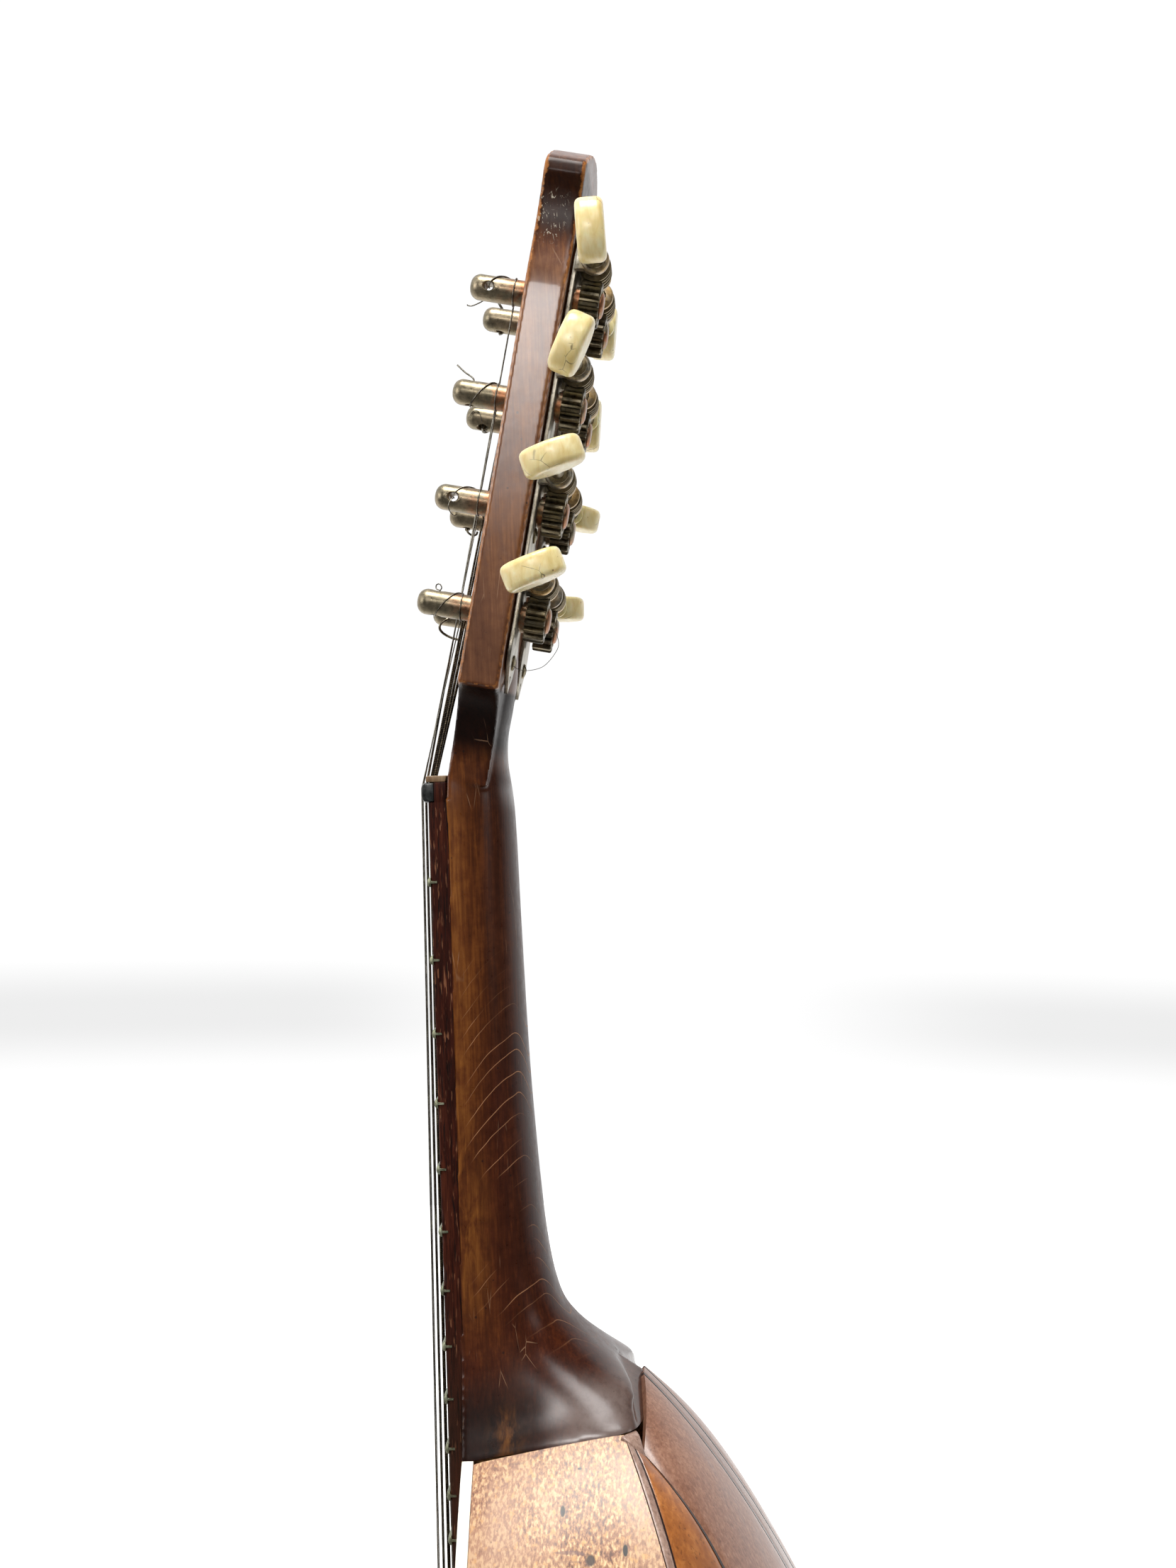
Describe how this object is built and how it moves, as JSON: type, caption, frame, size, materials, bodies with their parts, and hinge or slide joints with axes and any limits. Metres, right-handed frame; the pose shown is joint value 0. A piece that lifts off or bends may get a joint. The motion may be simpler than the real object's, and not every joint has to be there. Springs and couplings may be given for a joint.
{
  "type": "mandolin",
  "caption": "Bowl-back mandolin with a ribbed bowl, bent soundboard, fretted neck, pitched open head and worm-geared tuners with oval buttons.",
  "frame": {"origin": "the hanger yoke point: centre of the neck's front face, 14 mm above the nut's playing edge", "axes": "+Z along the neck toward the head, -Y out of the playing face, +X toward the treble side"},
  "size_m": [0.194, 0.1339, 0.6027],
  "materials": {
    "neck_wood": "gloss varnish, worn at the edges",
    "block_wood": "raw planed wood",
    "soundboard_spruce": "satin varnish, fine straight grain",
    "inlay_pearl": "polished shell",
    "dark_inlay_wood": "satin varnish",
    "binding_white": "satin",
    "side_rib_maple": "thin varnish, flecked",
    "second_rib_wood": "gloss varnish",
    "third_rib_wood": "gloss varnish",
    "centre_rib_wood": "gloss varnish",
    "clasp_wood": "gloss varnish",
    "fingerboard_wood": "bare, open pored",
    "fret_metal": "tarnished",
    "nut_ebony": "polished",
    "bone": "satin",
    "bridge_wood": "satin",
    "tailpiece_metal": "nickel plated, dulled",
    "strap_button_wood": "polished",
    "plate_metal": "tarnished",
    "string_steel": "drawn wire",
    "post_metal": "aged nickel over brass",
    "gear_metal": "dark patina",
    "worm_metal": "patina",
    "button_ivoroid": "polished, fine cracks"
  },
  "bodies": {
    "root": {"neck": "neck_wood", "end_blocks": "block_wood", "soundboard": "soundboard_spruce", "soundboard_bars": "soundboard_spruce", "inlays": "inlay_pearl", "pickguard": "dark_inlay_wood", "binding": "binding_white", "linings": "block_wood", "side_rib_treble": "side_rib_maple", "side_rib_bass": "side_rib_maple", "second_rib_treble": "second_rib_wood", "second_rib_bass": "second_rib_wood", "third_rib_treble": "third_rib_wood", "third_rib_bass": "third_rib_wood", "centre_rib": "centre_rib_wood", "end_clasp": "clasp_wood", "fingerboard": "fingerboard_wood", "frets": "fret_metal", "nut": "nut_ebony", "nut_strip": "bone", "bridge": "bridge_wood", "saddle": "bone", "tailpiece": "tailpiece_metal", "strap_button": "strap_button_wood", "tuner_plate_treble": "plate_metal", "tuner_plate_bass": "plate_metal", "plate_screws": "plate_metal", "strings": "string_steel"},
    "peg_1": {"post_1": "post_metal", "gear_1": "gear_metal"},
    "key_1": {"worm_1": "worm_metal", "button_1": "button_ivoroid"},
    "peg_2": {"post_2": "post_metal", "gear_2": "gear_metal"},
    "key_2": {"worm_2": "worm_metal", "button_2": "button_ivoroid"},
    "peg_3": {"post_3": "post_metal", "gear_3": "gear_metal"},
    "key_3": {"worm_3": "worm_metal", "button_3": "button_ivoroid"},
    "peg_4": {"post_4": "post_metal", "gear_4": "gear_metal"},
    "key_4": {"worm_4": "worm_metal", "button_4": "button_ivoroid"},
    "peg_5": {"post_5": "post_metal", "gear_5": "gear_metal"},
    "key_5": {"worm_5": "worm_metal", "button_5": "button_ivoroid"},
    "peg_6": {"post_6": "post_metal", "gear_6": "gear_metal"},
    "key_6": {"worm_6": "worm_metal", "button_6": "button_ivoroid"},
    "peg_7": {"post_7": "post_metal", "gear_7": "gear_metal"},
    "key_7": {"worm_7": "worm_metal", "button_7": "button_ivoroid"},
    "peg_8": {"post_8": "post_metal", "gear_8": "gear_metal"},
    "key_8": {"worm_8": "worm_metal", "button_8": "button_ivoroid"}
  },
  "joints": [
    {"name": "key_1_turn", "type": "hinge", "parent": "root", "child": "key_1", "pos_m": [0.024, 0.03746, 0.10355], "axis": [1, 0, 0], "continuous": true},
    {"name": "peg_1_turn", "type": "hinge", "parent": "root", "child": "peg_1", "pos_m": [0.0146, 0.02208, 0.0986], "axis": [0, 0.9803, -0.1977], "continuous": true},
    {"name": "key_2_turn", "type": "hinge", "parent": "root", "child": "key_2", "pos_m": [0.024, 0.03275, 0.08017], "axis": [1, 0, 0], "continuous": true},
    {"name": "peg_2_turn", "type": "hinge", "parent": "root", "child": "peg_2", "pos_m": [0.0146, 0.01736, 0.07522], "axis": [0, 0.9803, -0.1977], "continuous": true},
    {"name": "key_3_turn", "type": "hinge", "parent": "root", "child": "key_3", "pos_m": [0.024, 0.02803, 0.05679], "axis": [1, 0, 0], "continuous": true},
    {"name": "peg_3_turn", "type": "hinge", "parent": "root", "child": "peg_3", "pos_m": [0.0146, 0.01265, 0.05184], "axis": [0, 0.9803, -0.1977], "continuous": true},
    {"name": "key_4_turn", "type": "hinge", "parent": "root", "child": "key_4", "pos_m": [0.024, 0.02332, 0.03342], "axis": [1, 0, 0], "continuous": true},
    {"name": "peg_4_turn", "type": "hinge", "parent": "root", "child": "peg_4", "pos_m": [0.0146, 0.00794, 0.02846], "axis": [0, 0.9803, -0.1977], "continuous": true},
    {"name": "key_5_turn", "type": "hinge", "parent": "root", "child": "key_5", "pos_m": [-0.024, 0.03746, 0.10355], "axis": [1, 0, 0], "continuous": true},
    {"name": "peg_5_turn", "type": "hinge", "parent": "root", "child": "peg_5", "pos_m": [-0.0146, 0.02208, 0.0986], "axis": [0, 0.9803, -0.1977], "continuous": true},
    {"name": "key_6_turn", "type": "hinge", "parent": "root", "child": "key_6", "pos_m": [-0.024, 0.03275, 0.08017], "axis": [1, 0, 0], "continuous": true},
    {"name": "peg_6_turn", "type": "hinge", "parent": "root", "child": "peg_6", "pos_m": [-0.0146, 0.01736, 0.07522], "axis": [0, 0.9803, -0.1977], "continuous": true},
    {"name": "key_7_turn", "type": "hinge", "parent": "root", "child": "key_7", "pos_m": [-0.024, 0.02803, 0.05679], "axis": [1, 0, 0], "continuous": true},
    {"name": "peg_7_turn", "type": "hinge", "parent": "root", "child": "peg_7", "pos_m": [-0.0146, 0.01265, 0.05184], "axis": [0, 0.9803, -0.1977], "continuous": true},
    {"name": "key_8_turn", "type": "hinge", "parent": "root", "child": "key_8", "pos_m": [-0.024, 0.02332, 0.03342], "axis": [1, 0, 0], "continuous": true},
    {"name": "peg_8_turn", "type": "hinge", "parent": "root", "child": "peg_8", "pos_m": [-0.0146, 0.00794, 0.02846], "axis": [0, 0.9803, -0.1977], "continuous": true}
  ],
  "couplings": [
    {"joint": "peg_1_turn", "follows": "key_1_turn", "ratio": -0.071429},
    {"joint": "peg_2_turn", "follows": "key_2_turn", "ratio": -0.071429},
    {"joint": "peg_3_turn", "follows": "key_3_turn", "ratio": -0.071429},
    {"joint": "peg_4_turn", "follows": "key_4_turn", "ratio": -0.071429},
    {"joint": "peg_5_turn", "follows": "key_5_turn", "ratio": -0.071429},
    {"joint": "peg_6_turn", "follows": "key_6_turn", "ratio": -0.071429},
    {"joint": "peg_7_turn", "follows": "key_7_turn", "ratio": -0.071429},
    {"joint": "peg_8_turn", "follows": "key_8_turn", "ratio": -0.071429}
  ]
}
